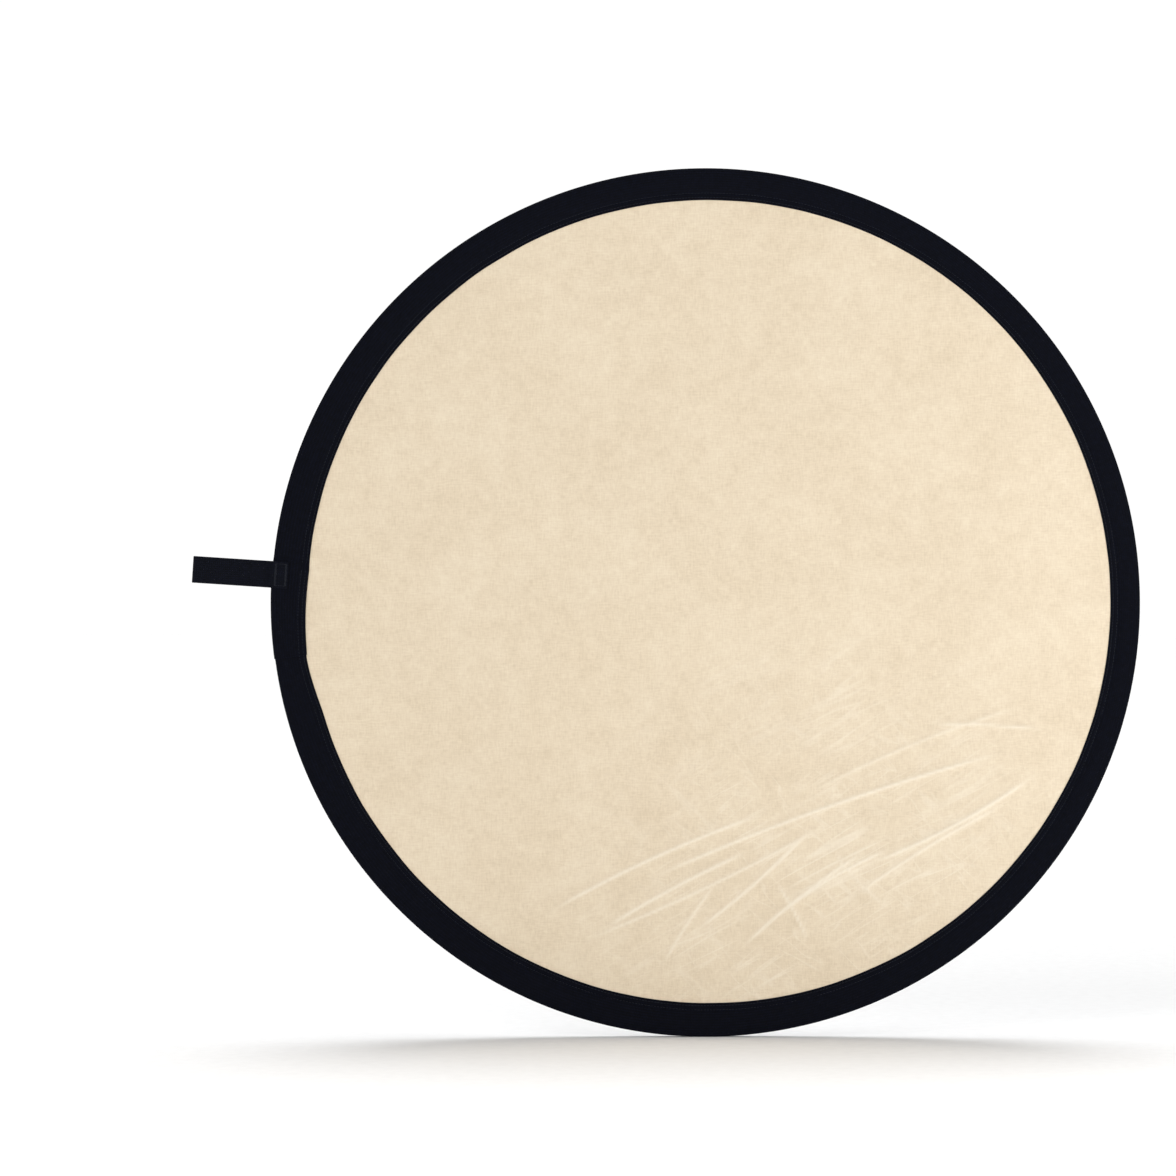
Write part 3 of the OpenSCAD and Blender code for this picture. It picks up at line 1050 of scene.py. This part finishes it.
@dataclass(frozen=True)
class Stitch:
    """The shape of one stitch: a thread that rises from the cloth and dips back into it."""

    width: float = 0.42 * MM
    height: float = 0.30 * MM
    AROUND = 6
    RUN = (0.0, 0.08, 0.3, 0.7, 0.92, 1.0)
    RISE = (-0.9, -0.1, 0.35, 0.35, -0.1, -0.9)
    GIRTH = (0.55, 0.85, 1.0, 1.0, 0.85, 0.55)

    def lay(self, draft: Draft, starts: Array, ends: Array, outwards: Array) -> None:
        """Adds stitches to a draft.

        Args:
            draft: the mesh being drawn.
            starts: N x 3 points where the threads come up.
            ends: N x 3 points where they go down.
            outwards: N x 3 directions away from the cloth.
        """
        along = unit(ends - starts)
        sideways = unit(np.cross(along, outwards))
        turn = np.linspace(0, 2 * math.pi, self.AROUND, endpoint=False)
        run, rise, girth = (np.array(v) for v in (self.RUN, self.RISE, self.GIRTH))
        line = starts[:, None] + (ends - starts)[:, None] * run[None, :, None]
        line = line + outwards[:, None] * (rise * self.height)[None, :, None]
        ring_out = np.cos(turn)[None, None, :, None] * outwards[:, None, None]
        ring_side = np.sin(turn)[None, None, :, None] * sideways[:, None, None]
        thick = girth[None, :, None, None]
        points = line[:, :, None] + thick * (
            ring_out * self.height / 2 + ring_side * self.width / 2
        )
        normals = unit(ring_out + ring_side + np.zeros_like(points))
        count, stations, around = points.shape[:3]
        length = np.linalg.norm(ends - starts, axis=1)[:, None] * run[None]
        flat = np.zeros((count, stations, around, 2))
        flat[..., 0] = length[:, :, None]
        flat[..., 1] = (turn * self.width / 2)[None, None]
        base = np.arange(count)[:, None, None] * stations * around
        k, j = np.meshgrid(np.arange(stations - 1), np.arange(around), indexing="ij")
        n = (j + 1) % around
        quads = [k * around + j, k * around + n, (k + 1) * around + n, (k + 1) * around + j]
        quads = np.stack([base + q[None] for q in quads], -1).reshape(-1, 4)
        draft.add(points, normals, flat, quads)
        first = base.reshape(-1, 1) + np.arange(around)[None, ::-1]
        last = base.reshape(-1, 1) + (stations - 1) * around + np.arange(around)[None]
        draft.close(np.concatenate([first, last]))


@dataclass
class Seams:
    """Two rings of lockstitch on each face: at the hoop's tunnel and at the tape's edge."""

    disc: DiscFrame
    binding: Binding
    pitch: float = 3.0 * MM
    length: float = 2.45 * MM
    stitch: Stitch = Stitch()

    def build(self, span: Span, layer: str, edge: float) -> bpy.types.Object:
        """Makes one seam over one span, on both faces.

        Args:
            span: the span.
            layer: tunnel_seam or edge_seam.
            edge: the seam's distance from the tape's inner edge.

        Returns:
            The stitches as one object.
        """
        count = round(2 * math.pi * self.binding.flat_radius / self.pitch)
        middle = (np.arange(count) + 0.5) * 2 * math.pi / count
        half = self.length / 2 / self.binding.flat_radius
        draft = Draft()
        for side in Side:
            at = self.binding.surface(middle, edge, side)
            chosen = middle[(at[:, 0] > span.low_x) & (at[:, 0] <= span.high_x)]
            starts = self.binding.surface(chosen - half, edge, side)
            ends = self.binding.surface(chosen + half, edge, side)
            outwards = np.tile((0.0, float(side.value), 0.0), (len(chosen), 1))
            self.stitch.lay(draft, starts, ends, outwards)
        obj = draft.make(f"{layer}_stitches_{span.name}", SEWING_THREAD)
        span.bend(obj, layer)
        return obj


# ---- the hoop ----


@dataclass
class Hoop:
    """The flat spring-steel strip that holds the disc open, lying inside the tape."""

    disc: DiscFrame
    binding: Binding
    inner: float = 403.3 * MM
    outer: float = 404.2 * MM
    half_width: float = 2.75 * MM
    corner: float = 0.22 * MM
    stations_per_radian: float = 60.0

    def outline(self) -> Array:
        """The strip's section with its rounded edges, anticlockwise in (radius, depth)."""
        corners = (
            (self.outer, -self.half_width, -90, 0),
            (self.outer, self.half_width, 0, 90),
            (self.inner, self.half_width, 90, 180),
            (self.inner, -self.half_width, 180, 270),
        )
        points = []
        for radius, depth, start, stop in corners:
            inset_r = radius + (self.corner if radius == self.inner else -self.corner)
            inset_d = depth - math.copysign(self.corner, depth)
            for turn in np.radians(np.linspace(start, stop, 4)):
                points.append(
                    (inset_r + self.corner * math.cos(turn), inset_d + self.corner * math.sin(turn))
                )
        return np.array(points)

    def build(self, span: Span) -> bpy.types.Object:
        """Makes the strip over one span."""
        outline = self.outline()
        across = np.concatenate([[0], np.cumsum(np.linalg.norm(np.diff(outline, axis=0), axis=1))])
        draft = Draft()
        for first, last in self.binding.arcs(span):
            steps = max(6, round((last - first) * self.stations_per_radian))
            angle = np.linspace(first, last, steps)[:, None]
            radius = np.tile(outline[:, 0], (steps, 1))
            turned = self.binding.skewed(angle, radius)
            points = self.disc.place(radius, turned, np.tile(outline[:, 1], (steps, 1)))
            along = np.tile(angle * self.outer, (1, len(across)))
            draft.sweep(points, np.stack([along, np.tile(across, (steps, 1))], -1))
        obj = draft.make(f"spring_hoop_strip_{span.name}", HOOP_STEEL)
        span.bend(obj, "spring_hoop")
        return obj


# ---- the sheets ----


@dataclass(frozen=True)
class Ripple:
    """Gentle relief at one scale."""

    height: float
    pitch: float
    seed: int

    def at(self, x: Array, z: Array) -> Array:
        """Height at each place."""
        return self.height * Relief(self.seed).at(x, z, self.pitch)


@dataclass(frozen=True)
class Crumple:
    """Sharp-backed folds at one scale, as crushed film keeps them."""

    height: float
    pitch: float
    seed: int
    warp: float = 0.35
    width: float = 0.30

    def at(self, x: Array, z: Array) -> Array:
        """Height at each place, never below 0."""
        relief = Relief(self.seed)
        bent_x = x + self.warp * self.pitch * relief.at(x, z, self.pitch * 1.7)
        bent_z = z + self.warp * self.pitch * relief.at(z + 3.1, x - 1.7, self.pitch * 1.7)
        field_ = relief.at(bent_x, bent_z, self.pitch)
        ridge = np.exp(-np.abs(field_) / self.width)
        return self.height * ridge * smooth(0.5 + 1.3 * relief.at(x - 2.3, z + 0.9, self.pitch * 2.1))

    def painted_highlight(self, x: Array, z: Array) -> Array:
        """How strongly a highlight is painted along the folds' backs, from 0 to 1."""
        return (self.at(x, z) / self.height) ** 1.5


@dataclass(frozen=True)
class Crease:
    """One pressed fold line, from one place on the sheet to another, in mm."""

    x0: float
    z0: float
    x1: float
    z1: float
    height: float = 0.45
    width: float = 3.0
    bow: float = 0.0

    def seen_from(self, x: Array, z: Array) -> tuple[Array, Array]:
        """Distance from the line, and the share of its height there, 0 past its ends."""
        start = np.array((self.x0, self.z0)) * MM
        chord = np.array((self.x1, self.z1)) * MM - start
        length = float(np.hypot(*chord))
        ux, uz = chord / length
        t = ((x - start[0]) * ux + (z - start[1]) * uz) / length
        off = (z - start[1]) * ux - (x - start[0]) * uz - self.bow * MM * 4 * t * (1 - t)
        return np.abs(off), smooth(t / 0.18) * smooth((1 - t) / 0.18)

    def at(self, x: Array, z: Array) -> Array:
        """Height at each place, fading out at both ends of the line."""
        off, share = self.seen_from(x, z)
        return self.height * MM * np.exp(-off / (self.width * MM)) * share

    def painted_highlight(self, x: Array, z: Array) -> Array:
        """How strongly a highlight is painted along the line's ridge, from 0 to 1."""
        off, share = self.seen_from(x, z)
        ridge = 0.6 * self.width * MM
        return min(1.0, self.height) * np.exp(-((off / ridge) ** 2)) * share


@dataclass
class Sheets:
    """The three round sheets, stretched on the hoop: cream face, lining and silver face.

    All three share one gentle sag, and each face has its own creases outwards, so the
    sheets never cross.
    """

    disc: DiscFrame
    binding: Binding
    cut_radius: float = 385 * MM
    cells_per_cut: int = 64  # cells between two cut lines, on the faces
    lining_cells: int = 18
    cloth: float = 0.26 * MM
    face_depth: float = 0.57 * MM
    fade: float = 30 * MM
    sag: tuple[Ripple, ...] = (Ripple(0.85 * MM, 165 * MM, 21), Ripple(0.30 * MM, 62 * MM, 22))
    edge_pucker: float = 0.32 * MM
    edge_pitch: float = 26 * MM
    edge_reach: float = 42 * MM

    CREAM_CRUMPLES = (Crumple(0.16 * MM, 70 * MM, 31), Crumple(0.10 * MM, 34 * MM, 32))
    CREAM_CREASES = (
        Crease(-150, -292, 60, -196, 1.00, 2.6, 6),
        Crease(-118, -318, 120, -204, 0.84, 2.4, -5),
        Crease(-60, -262, 288, -138, 1.00, 2.6, 8),
        Crease(-96, -306, 42, -232, 1.10, 2.8, 3),
        Crease(-12, -309, 101, -209, 1.00, 2.6, -4),
        Crease(32, -325, 150, -232, 1.10, 2.8, 4),
        Crease(55, -302, 175, -229, 1.20, 2.8, 5),
        Crease(150, -246, 310, -160, 1.20, 2.8, -6),
        Crease(135, -278, 282, -188, 0.90, 2.6, 4),
        Crease(209, -113, 318, -119, 0.80, 2.2, 1),
        Crease(90, -182, 300, -96, 0.60, 2.4, 6),
        Crease(-40, -340, 10, -262, 0.80, 2.4, 2),
        Crease(66, -262, 96, -318, 0.80, 2.4, 2),
        Crease(120, -232, 168, -284, 0.72, 2.4, -3),
    )
    SILVER_CRUMPLES = (
        Crumple(2.1 * MM, 120 * MM, 41),
        Crumple(1.1 * MM, 58 * MM, 42),
        Crumple(0.45 * MM, 27 * MM, 43),
    )
    SILVER_CREASES = (
        Crease(350, 124, 120, 168, 2.6, 7.0, 8),
        Crease(338, 80, 296, -30, 1.8, 5.0, 6),
        Crease(226, 108, 172, 20, 1.7, 6.0, -10),
        Crease(200, 146, 142, 60, 1.6, 6.0, -9),
        Crease(164, -92, 160, -330, 2.2, 9.0, 8),
        Crease(300, 190, 200, 176, 1.4, 6.0, 5),
        Crease(-60, 250, 180, 300, 1.8, 8.0, 8),
        Crease(-310, 60, -120, 130, 1.8, 7.0, -9),
        Crease(-240, -180, -60, -60, 1.6, 7.0, 10),
        Crease(-40, -40, 60, 120, 1.3, 6.0, -8),
    )

    def hold(self, x: Array, z: Array) -> Array:
        """Share of the relief that is free: 0 where the tape grips the sheets."""
        radius, angle = np.hypot(x, z), np.arctan2(z, x)
        return smooth((self.binding.inner_radius(angle) - 0.5 * MM - radius) / self.fade)

    def sagging(self, x: Array, z: Array) -> Array:
        """Y of the whole stack's slow unevenness and of its puckers along the tape."""
        radius, angle = np.hypot(x, z), np.arctan2(z, x)
        inwards = self.binding.inner_radius(angle) - radius
        near = smooth(inwards / (8 * MM)) * smooth(1 - inwards / self.edge_reach)
        pucker = Relief(23).at(angle * self.disc.radius, inwards * 0.25, self.edge_pitch)
        slow = sum(ripple.at(x, z) for ripple in self.sag)
        return slow * self.hold(x, z) + self.edge_pucker * pucker * near

    def outward(self, x: Array, z: Array, parts: Sequence[Crumple | Crease]) -> Array:
        """How far a face's own folds stand out from the stack."""
        return sum((part.at(x, z) for part in parts), np.zeros_like(x)) * self.hold(x, z)

    def build(self, layer: str) -> list[bpy.types.Object]:
        """Makes one sheet in four spans.

        Args:
            layer: gold_face, blockout_lining or silver_face.

        Returns:
            The four pieces from left to right.
        """
        lining = layer == "blockout_lining"
        cells = self.lining_cells if lining else self.cells_per_cut
        pitch = self.disc.cuts[-1] / cells
        reach = math.ceil(self.cut_radius / pitch)
        line = np.arange(-reach, reach + 1) * pitch
        x, z = np.meshgrid(line, line, indexing="ij")
        middle = (line[:-1] + line[1:]) / 2
        kept = np.hypot(middle[:, None], middle[None]) < self.cut_radius - 0.35 * pitch
        sag = self.sagging(x, z)
        if layer == "gold_face":
            front = sag - self.face_depth
            front = front - self.outward(x, z, self.CREAM_CRUMPLES + self.CREAM_CREASES)
        elif lining:
            front = sag - self.cloth / 2
        else:
            front = sag + self.face_depth - self.cloth
            front = front + self.outward(x, z, self.SILVER_CRUMPLES + self.SILVER_CREASES)
        x, z = self.rounded(x, z, kept)
        slope_x, slope_z = np.gradient(front, pitch)
        towards = unit(np.stack([slope_x, -np.ones_like(slope_x), slope_z], -1))
        finish, name = {
            "gold_face": (CREAM_CLOTH, "cream_sheet"),
            "blockout_lining": (LINING_CLOTH, "lining_sheet"),
            "silver_face": (SILVER_CLOTH, "silver_sheet"),
        }[layer]
        pieces = []
        for span in self.disc.spans():
            first = max(0, round(span.low_x / pitch) + reach)
            last = min(2 * reach, round(span.high_x / pitch) + reach)
            part = np.zeros_like(kept)
            part[first:last] = kept[first:last]
            obj = self.shell(x, z, front, towards, part).make(f"{name}_{span.name}", finish)
            # The faces' creases carry a highlight painted along their backs.
            if layer == "gold_face":
                self.paint_fold_highlights(obj, self.CREAM_CREASES)
            elif not lining:
                self.paint_fold_highlights(obj, self.SILVER_CRUMPLES[:1] + self.SILVER_CREASES)
            span.bend(obj, layer)
            pieces.append(obj)
        return pieces

    def paint_fold_highlights(self, obj: bpy.types.Object, folds: Sequence[Crumple | Crease]) -> None:
        """Marks where a highlight is painted along the backs of the folds."""
        place = np.empty(len(obj.data.vertices) * 3)
        obj.data.vertices.foreach_get("co", place)
        x, z = place[0::3], place[2::3] - self.disc.centre_z
        painted_highlight = np.zeros_like(x)
        for fold in folds:
            painted_highlight = np.maximum(painted_highlight, fold.painted_highlight(x, z))
        mark = obj.data.attributes.new(FOLD_HIGHLIGHT, "FLOAT", "POINT")
        mark.data.foreach_set("value", painted_highlight.astype(np.float32))

    def rounded(self, x: Array, z: Array, kept: Array) -> tuple[Array, Array]:
        """Moves the outermost grid points onto the cut circle, which is hidden in the tape."""
        touching = np.zeros(x.shape, int)
        for a in (0, 1):
            for b in (0, 1):
                touching[a : a + kept.shape[0], b : b + kept.shape[1]] += kept
        used = touching > 0
        radius = np.maximum(np.hypot(x, z), 1 * MM)
        scale = np.where(used & (touching < 4), self.cut_radius / radius, 1.0)
        on_cut = np.isin(np.round(x / MM, 3), np.round(np.array(self.disc.cuts) / MM, 3))
        beyond = np.where(z > 0, np.roll(used, -1, axis=1), np.roll(used, 1, axis=1))
        outermost = used & ~beyond
        tall = np.sqrt(np.maximum(self.cut_radius**2 - x**2, 0.0))
        cut_z = np.where(outermost, np.copysign(tall, z), z)
        return np.where(on_cut, x, x * scale), np.where(on_cut, cut_z, z * scale)

    def shell(self, x: Array, z: Array, front: Array, towards: Array, kept: Array) -> Draft:
        """Draws a thin closed shell over the kept cells.

        Args:
            x: grid of X.
            z: grid of Z, from the disc's middle.
            front: grid of Y of the side that looks along -Y.
            towards: grid of that side's normals.
            kept: which cells are cloth.

        Returns:
            The drawn mesh.
        """
        rows = x.shape[1]
        a, b = np.nonzero(kept)
        quads = np.stack(
            [a * rows + b, (a + 1) * rows + b, (a + 1) * rows + b + 1, a * rows + b + 1], -1
        )
        used, packed = np.unique(quads, return_inverse=True)
        packed = packed.reshape(-1, 4)
        near = np.stack([x.ravel(), front.ravel(), z.ravel() + self.disc.centre_z], -1)[used]
        far = near + (0.0, self.cloth, 0.0)
        normal, flat = towards.reshape(-1, 3)[used], np.stack([x.ravel(), z.ravel()], -1)[used]
        draft = Draft()
        draft.add(near, normal, flat, packed)
        draft.add(far, -normal, flat, packed[:, ::-1])
        edges = np.concatenate([packed[:, [i, (i + 1) % 4]] for i in range(4)])
        code = edges[:, 0].astype(np.int64) * len(used) + edges[:, 1]
        back = edges[:, 1].astype(np.int64) * len(used) + edges[:, 0]
        rim = edges[~np.isin(code, back)]
        wall = np.stack([near[rim[:, 1]], near[rim[:, 0]], far[rim[:, 0]], far[rim[:, 1]]], 1)
        outwards = unit(np.cross(near[rim[:, 1]] - near[rim[:, 0]], (0.0, 1.0, 0.0)))
        draft.add(
            wall,
            np.repeat(outwards[:, None], 4, axis=1),
            flat[rim[:, [1, 0, 0, 1]]],
            np.arange(len(rim) * 4).reshape(-1, 4),
            rounded=False,
        )
        return draft


# ---- the strap ----


@dataclass
class Strap:
    """The webbing strap: one ribbon sewn over the rim, doubled back through its own eye."""

    disc: DiscFrame
    binding: Binding
    angle: float = math.radians(176.3)
    width: float = 25 * MM
    thickness: float = 1.3 * MM
    edge_round: float = 0.5 * MM
    pivot: float = 415.0 * MM
    fold_reach: float = 5.0 * MM
    end: float = 481.0 * MM
    tack_half: float = 10.2 * MM
    tack_pitch: float = 0.62 * MM
    tack_rows: tuple[float, float] = (393.2 * MM, 402.8 * MM)
    tack_height: float = 2.2 * MM

    # Middle line of the front ply, from the sewn tab to the fold at the strap's end:
    # (distance from the disc's middle, distance from its middle plane) in mm.
    PLY = (
        (391.0, 4.75), (394.0, 5.05), (398.0, 5.42), (401.5, 5.62), (404.0, 5.60), (405.8, 5.22),
        (407.2, 4.40), (408.1, 3.30), (409.0, 2.25), (410.2, 1.35), (411.8, 0.84), (413.4, 0.70),
        (415.0, 0.68), (419.0, 0.68), (424.0, 0.70), (427.5, 0.86), (431.0, 1.50), (434.5, 2.35),
        (438.5, 2.95), (443.0, 3.12), (460.0, 3.15), (477.0, 3.15),
    )
    LOOP_RADIUS = 3.15 * MM
    CORNER = (0.3, 0.72)  # where the selvedge turns: shares of its rounding and thickness
    TACK = Stitch(width=0.5 * MM, height=0.34 * MM)
    SIDE_STITCHES = 4

    def ribbon(self) -> Array:
        """The ribbon's whole middle line in (radius, depth), front tab to back tab."""
        ply = np.array(self.PLY) * MM
        length = np.concatenate([[0], np.cumsum(np.linalg.norm(np.diff(ply, axis=0), axis=1))])
        even = np.linspace(0, length[-1], 90)
        fine = np.stack([np.interp(even, length, ply[:, i]) for i in (0, 1)], -1)
        for _ in range(3):
            fine[1:-1] = (fine[:-2] + 2 * fine[1:-1] + fine[2:]) / 4
        turn = np.linspace(-90, 90, 13)[1:-1]
        top = fine[-1, 0]
        fold = [
            (top + self.LOOP_RADIUS * math.cos(t), self.LOOP_RADIUS * math.sin(t))
            for t in np.radians(turn)
        ]
        front = fine * (1, -1)
        return np.concatenate([front, np.array(fold), fine[::-1]])

    def section(self) -> Array:
        """The webbing's section, anticlockwise in (across, off the middle line)."""
        half_w, half_t, edge = self.width / 2, self.thickness / 2, self.edge_round
        inner = np.linspace(-half_w + edge, half_w - edge, 13)
        in_w, in_t = half_w - edge * self.CORNER[0], half_t * self.CORNER[1]
        points = [(w, -half_t) for w in inner]
        points += [(in_w, -in_t), (half_w, 0.0), (in_w, in_t)]
        points += [(w, half_t) for w in inner[::-1]]
        points += [(-in_w, in_t), (-half_w, 0.0), (-in_w, -in_t)]
        return np.array(points)

    def axes(self) -> tuple[Array, Array, Array]:
        """Directions outwards along the strap, across the disc and along the rim."""
        out = np.array((math.cos(self.angle), 0.0, math.sin(self.angle)))
        side = np.array((-math.sin(self.angle), 0.0, math.cos(self.angle)))
        return out, np.array((0.0, 1.0, 0.0)), side

    def point(self, radius: float, depth: float, across: float = 0.0) -> Array:
        """A point of the strap in the frame."""
        out, deep, side = self.axes()
        middle = np.array((0.0, 0.0, self.disc.centre_z))
        return middle + out * radius + deep * depth + side * across

    def build(self) -> bpy.types.Object:
        """Makes the ribbon, which bends at the rim."""
        out, deep, side = self.axes()
        line, section = self.ribbon(), self.section()
        place = line[:, :1] * out + line[:, 1:] * deep + (0.0, 0.0, self.disc.centre_z)
        step = unit(np.gradient(place, axis=0))
        off = np.cross(step, side)
        points = (
            place[:, None]
            + section[None, :, :1] * side
            + section[None, :, 1:] * off[:, None]
        )
        length = np.concatenate([[0], np.cumsum(np.linalg.norm(np.diff(place, axis=0), axis=1))])
        flat = np.stack(np.broadcast_arrays(length[:, None], section[None, :, 0]), -1)
        draft = Draft()
        draft.sweep(points, flat)
        obj = draft.make("strap_webbing_ribbon", STRAP_WEBBING)
        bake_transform(obj)
        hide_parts("strap_base", "strap_loop")
        return obj

    def build_tacks(self) -> bpy.types.Object:
        """Makes the bar tacks: two dense zigzag rows through both tabs, and side runs."""
        ply = np.array(self.PLY) * MM
        draft = Draft()
        deep = np.array((0.0, 1.0, 0.0))

        def on_tab(radius: float, across: float, side: Side) -> Array:
            """A point on the outside of a tab."""
            depth = np.interp(radius, ply[:, 0], ply[:, 1]) + self.thickness / 2
            return self.point(radius, side.value * depth, across)

        for side in Side:
            starts, ends = [], []
            for row in self.tack_rows:
                places = np.arange(-self.tack_half, self.tack_half, self.tack_pitch)
                for i, across in enumerate(places):
                    low, high = row - self.tack_height / 2, row + self.tack_height / 2
                    first, last = (low, high) if i % 2 == 0 else (high, low)
                    starts.append(on_tab(first, across, side))
                    ends.append(on_tab(last, across + self.tack_pitch, side))
            runs = np.linspace(*self.tack_rows, self.SIDE_STITCHES + 1)
            for across in (-self.tack_half, self.tack_half):
                for low, high in zip(runs, runs[1:]):
                    starts.append(on_tab(low + 0.2 * MM, across, side))
                    ends.append(on_tab(high - 0.2 * MM, across, side))
            outwards = np.tile(deep * side.value, (len(starts), 1))
            self.TACK.lay(draft, np.array(starts), np.array(ends), outwards)
        obj = draft.make("strap_bar_tack_stitches", SEWING_THREAD)
        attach(obj, "left_outer_panel")
        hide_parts("strap_tacks")
        return obj


# ---- the studio ----


@dataclass
class Studio:
    """A white floor and surround, soft lights, and a camera square to the disc."""

    disc: DiscFrame
    distance: float = 3.5
    frame_width: float = 1.10
    aim_x: float = -0.110
    aim_up: float = 13.5 * MM
    sensor: float = 36.0
    floor_size: float = 60.0
    sky: tuple[float, float] = (1.03, 0.16)  # brightness at the horizon and overhead
    sky_band: tuple[float, float] = (0.16, 0.42)  # where it falls, as sines of elevation

    # Name, watts per square metre, angle filled and tilt, in degrees. The first is a
    # little behind the disc, so that its soft shadow falls forwards.
    SUNS = (
        ("overhead_light", 2.35, 42.0, (-13.0, 0.0)),
        ("key_light", 0.62, 36.0, (52.0, -38.0)),
    )
    # A soft panel low on the right, which makes that side of the cream face brighter.
    PANEL_PLACE = (1.45, -1.4, 0.3)
    PANEL_SIZE = (0.8, 0.8)
    PANEL_POWER = 10.5

    def build(self) -> None:
        """Makes the floor, lights and camera."""
        scene = bpy.context.scene
        scene.view_settings.view_transform = "Standard"
        self.make_floor()
        self.make_sky()
        for name, power, width, tilt in self.SUNS:
            self.make_sun(name, power, width, tilt)
        self.make_panel("side_panel", self.PANEL_PLACE, self.PANEL_SIZE, self.PANEL_POWER)
        camera = bpy.data.cameras.new("camera")
        camera.sensor_width = self.sensor
        camera.lens = self.sensor * self.distance / self.frame_width
        obj = bpy.data.objects.new("camera", camera)
        obj.location = (self.aim_x, -self.distance, self.disc.centre_z + self.aim_up)
        obj.rotation_euler = (math.pi / 2, 0.0, 0.0)
        scene.collection.objects.link(obj)
        scene.camera = obj

    def make_floor(self) -> None:
        """Makes the floor."""
        half = self.floor_size / 2
        draft = Draft()
        corners = np.array([(-half, -half, 0), (half, -half, 0), (half, half, 0), (-half, half, 0)])
        up = np.tile((0.0, 0.0, 1.0), (4, 1))
        draft.add(corners.astype(float), up, corners[:, :2].astype(float), np.array([[0, 1, 2, 3]]))
        draft.make("studio_floor", MattPaper())

    def make_sky(self) -> None:
        """Makes an even white surround, brightest at the horizon."""
        world = bpy.data.worlds.new("studio_surround")
        world.use_nodes = True
        tree = world.node_tree
        tree.nodes.clear()
        place = tree.nodes.new("ShaderNodeTexCoord")
        split = tree.nodes.new("ShaderNodeSeparateXYZ")
        tree.links.new(place.outputs["Generated"], split.inputs["Vector"])
        spread = tree.nodes.new("ShaderNodeMapRange")
        low, high = self.sky
        near, far = self.sky_band
        for key, value in (("From Min", near), ("From Max", far), ("To Min", low), ("To Max", high)):
            spread.inputs[key].default_value = value
        tree.links.new(split.outputs["Z"], spread.inputs["Value"])
        light = tree.nodes.new("ShaderNodeBackground")
        light.inputs["Color"].default_value = linear_rgba("#FFFFFF")
        tree.links.new(spread.outputs["Result"], light.inputs["Strength"])
        out = tree.nodes.new("ShaderNodeOutputWorld")
        tree.links.new(light.outputs["Background"], out.inputs["Surface"])
        bpy.context.scene.world = world

    def make_sun(self, name: str, power: float, width: float, tilt: tuple[float, float]) -> None:
        """Makes a far, wide, soft light.

        Args:
            name: its name.
            power: watts per square metre.
            width: the angle that it fills, in degrees.
            tilt: how far it leans from straight overhead, towards the disc's front and
                then turned about the upright, in degrees.
        """
        sun = bpy.data.lights.new(name, "SUN")
        sun.energy = power
        sun.angle = math.radians(width)
        obj = bpy.data.objects.new(name, sun)
        obj.rotation_euler = (math.radians(tilt[0]), 0.0, math.radians(tilt[1]))
        bpy.context.scene.collection.objects.link(obj)

    def make_panel(
        self,
        name: str,
        place: tuple[float, float, float],
        size: tuple[float, float],
        power: float,
    ) -> None:
        """Makes a soft panel light that faces the disc.

        Args:
            name: its name.
            place: where it stands.
            size: width and height.
            power: watts.
        """
        light = bpy.data.lights.new(name, "AREA")
        light.shape = "RECTANGLE"
        light.size, light.size_y = size
        light.energy = power
        obj = bpy.data.objects.new(name, light)
        obj.location = place
        aim = np.array((0.0, 0.0, self.disc.centre_z)) - np.array(place)
        yaw = math.atan2(aim[0], aim[1])
        pitch = math.atan2(aim[2], math.hypot(aim[0], aim[1]))
        obj.rotation_euler = (math.pi / 2 + pitch, 0.0, -yaw)
        bpy.context.scene.collection.objects.link(obj)


def dress_hidden_metal() -> None:
    """Dresses the sleeve, its rivets and its cloth wrap, which keep their CAD shapes."""
    for node, finish in (
        ("hoop_ferrule", SLEEVE_ZINC),
        ("ferrule_rivets", RIVET_ALUMINIUM),
        ("ferrule_wrap", SLEEVE_TAPE),
    ):
        finish.dress(frame["nodes"][node])


def main() -> None:
    """Builds the disc's pieces in the order that they are sewn, then the studio."""
    logging.basicConfig(level=logging.INFO, format="%(message)s")
    disc = DiscFrame.measured()
    binding = Binding(disc)
    hoop, seams = Hoop(disc, binding), Seams(disc, binding)
    sheets, strap = Sheets(disc, binding), Strap(disc, binding)
    made: list[bpy.types.Object] = []
    for span in disc.spans():
        made.append(hoop.build(span))
        made.append(binding.build(span))
        made.append(seams.build(span, "tunnel_seam", Binding.TUNNEL_SEAM))
        made.append(seams.build(span, "edge_seam", Binding.EDGE_SEAM))
    made.append(binding.build_lap())
    for layer in ("gold_face", "blockout_lining", "silver_face"):
        made.extend(sheets.build(layer))
    made.append(strap.build())
    made.append(strap.build_tacks())
    dress_hidden_metal()
    for obj in made:
        log.info("%s: %d faces", obj.name, len(obj.data.polygons))
    Studio(disc).build()


if __name__ == "__main__":
    main()
